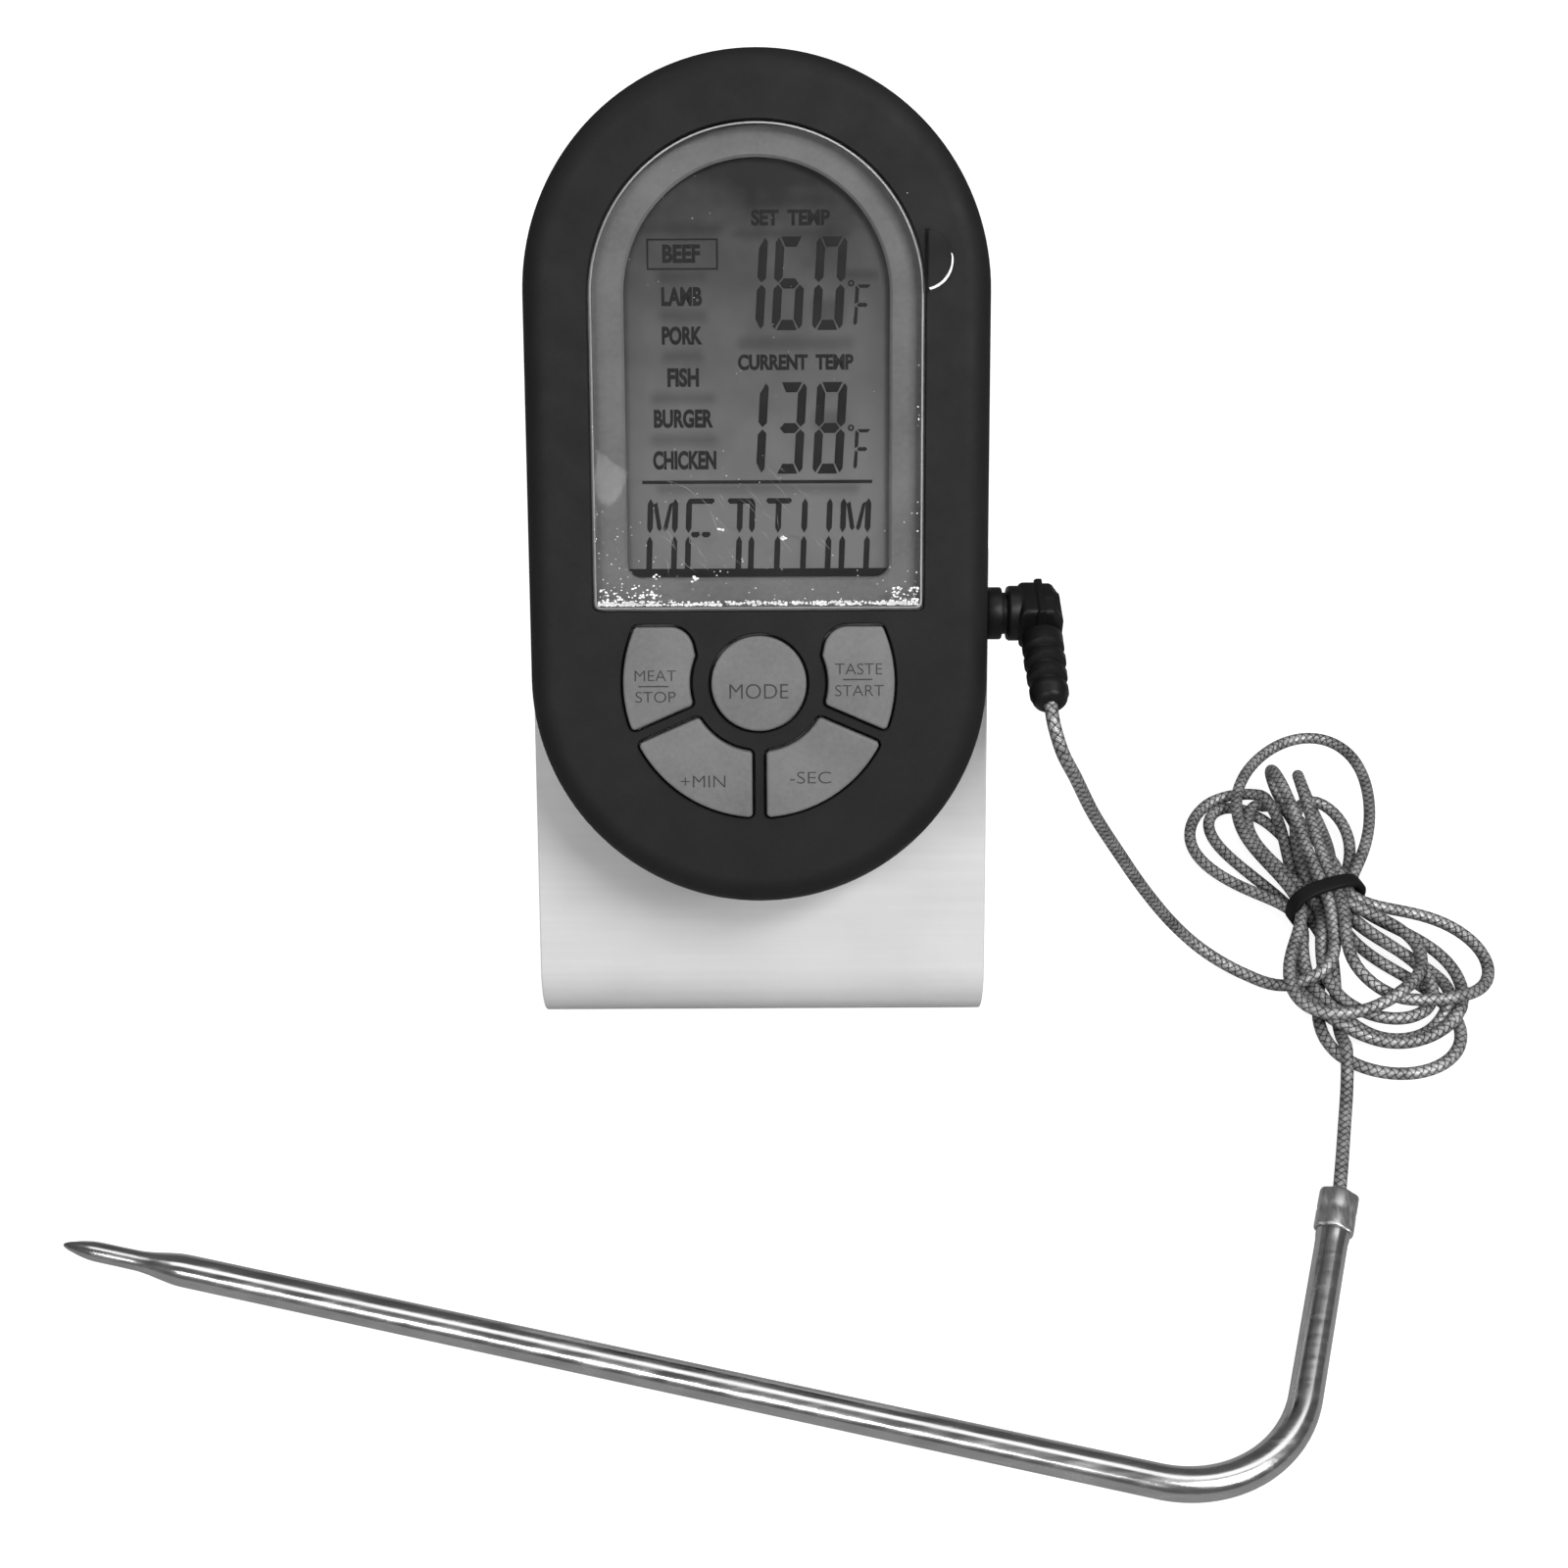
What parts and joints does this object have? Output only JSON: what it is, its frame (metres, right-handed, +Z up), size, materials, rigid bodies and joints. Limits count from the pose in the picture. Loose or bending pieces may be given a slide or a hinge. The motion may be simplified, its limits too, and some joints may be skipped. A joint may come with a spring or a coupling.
{
  "type": "meat thermometer",
  "caption": "Leaning digital oven thermometer on a bent sheet stand, with display, keys and a plug-in bent steel probe on a braided lead.",
  "frame": {"origin": "middle of the flat underside of the stand's foot, on the table", "axes": "+Z up, -Y towards the person reading the display, +X to that person's right, where the probe's jack is"},
  "size_m": [0.2222, 0.1581, 0.1342],
  "materials": {
    "charcoal_plastic": "fine matte moulded",
    "grey_keys": "satin with printed legends",
    "clear_lens": "clear polished acrylic",
    "clear_film": "clear cling film with trapped bubbles",
    "silver_plastic": "silver-grey satin print",
    "lcd_glass": "grey liquid crystal panel with dark segments",
    "white_metal": "white satin",
    "black_plastic": "black moulded",
    "grey_rubber": "matte silicone",
    "circuit_board": "green solder mask",
    "plated_metal": "nickel plate",
    "stainless_steel": "drawn stainless tube",
    "steel_braid": "braided stainless wire",
    "battery_wrap": "printed shrink wrap"
  },
  "bodies": {
    "unit": {"housing_front": "charcoal_plastic", "housing_rear": "charcoal_plastic", "window_lens": "clear_lens", "protective_film": "clear_film", "display_frame": "silver_plastic", "lcd_panel": "lcd_glass", "lcd_connector_strip": "grey_rubber", "keypad_membrane": "grey_rubber", "main_pcb": "circuit_board", "control_chip": "black_plastic", "buzzer": "black_plastic", "jack_socket": "black_plastic", "switch_body": "plated_metal", "battery_1": "battery_wrap", "battery_2": "battery_wrap", "battery_spring_1": "plated_metal", "battery_spring_2": "plated_metal", "contact_positive": "plated_metal", "contact_negative": "plated_metal", "contact_bridge": "plated_metal", "housing_screw_1": "plated_metal", "housing_screw_2": "plated_metal", "housing_screw_3": "plated_metal", "stand_screw_1": "plated_metal", "stand_screw_2": "plated_metal", "stand": "white_metal"},
    "mode_button": {"key_mode": "grey_keys"},
    "meat_stop_button": {"key_meat_stop": "grey_keys"},
    "taste_start_button": {"key_taste_start": "grey_keys"},
    "minutes_button": {"key_minutes": "grey_keys"},
    "seconds_button": {"key_seconds": "grey_keys"},
    "door": {"battery_door": "charcoal_plastic"},
    "switch_slider": {"power_switch": "black_plastic"},
    "probe_lead": {"plug_body": "black_plastic", "plug_pin": "plated_metal", "strain_relief": "black_plastic", "cord_upper": "steel_braid", "cord_hank": "steel_braid", "cord_lower": "steel_braid", "cord_tie": "black_plastic", "probe_tube": "stainless_steel", "crimp_ferrule": "stainless_steel", "thermistor": "black_plastic", "sensor_wires": "steel_braid"}
  },
  "joints": [
    {"name": "mode_press", "type": "slide", "parent": "unit", "child": "mode_button", "axis": [0, 0.8192, -0.5736], "range_m": [0, 0.0008], "stiffness_N_per_m": 1000, "springref_m": -0.0004},
    {"name": "meat_stop_press", "type": "slide", "parent": "unit", "child": "meat_stop_button", "axis": [0, 0.8192, -0.5736], "range_m": [0, 0.0008], "stiffness_N_per_m": 1000, "springref_m": -0.0004},
    {"name": "taste_start_press", "type": "slide", "parent": "unit", "child": "taste_start_button", "axis": [0, 0.8192, -0.5736], "range_m": [0, 0.0008], "stiffness_N_per_m": 1000, "springref_m": -0.0004},
    {"name": "minutes_press", "type": "slide", "parent": "unit", "child": "minutes_button", "axis": [0, 0.8192, -0.5736], "range_m": [0, 0.0008], "stiffness_N_per_m": 1000, "springref_m": -0.0004},
    {"name": "seconds_press", "type": "slide", "parent": "unit", "child": "seconds_button", "axis": [0, 0.8192, -0.5736], "range_m": [0, 0.0008], "stiffness_N_per_m": 1000, "springref_m": -0.0004},
    {"name": "door_swing", "type": "hinge", "parent": "unit", "child": "door", "pos_m": [0, 0.00622, 0.08265], "axis": [-1, 0, 0], "range_deg": [0, 95]},
    {"name": "switch_slide", "type": "slide", "parent": "unit", "child": "switch_slider", "axis": [1, 0, 0], "range_m": [0, 0.0035]},
    {"name": "plug_pull", "type": "slide", "parent": "unit", "child": "probe_lead", "axis": [1, 0, 0], "range_m": [0, 0.015]}
  ]
}
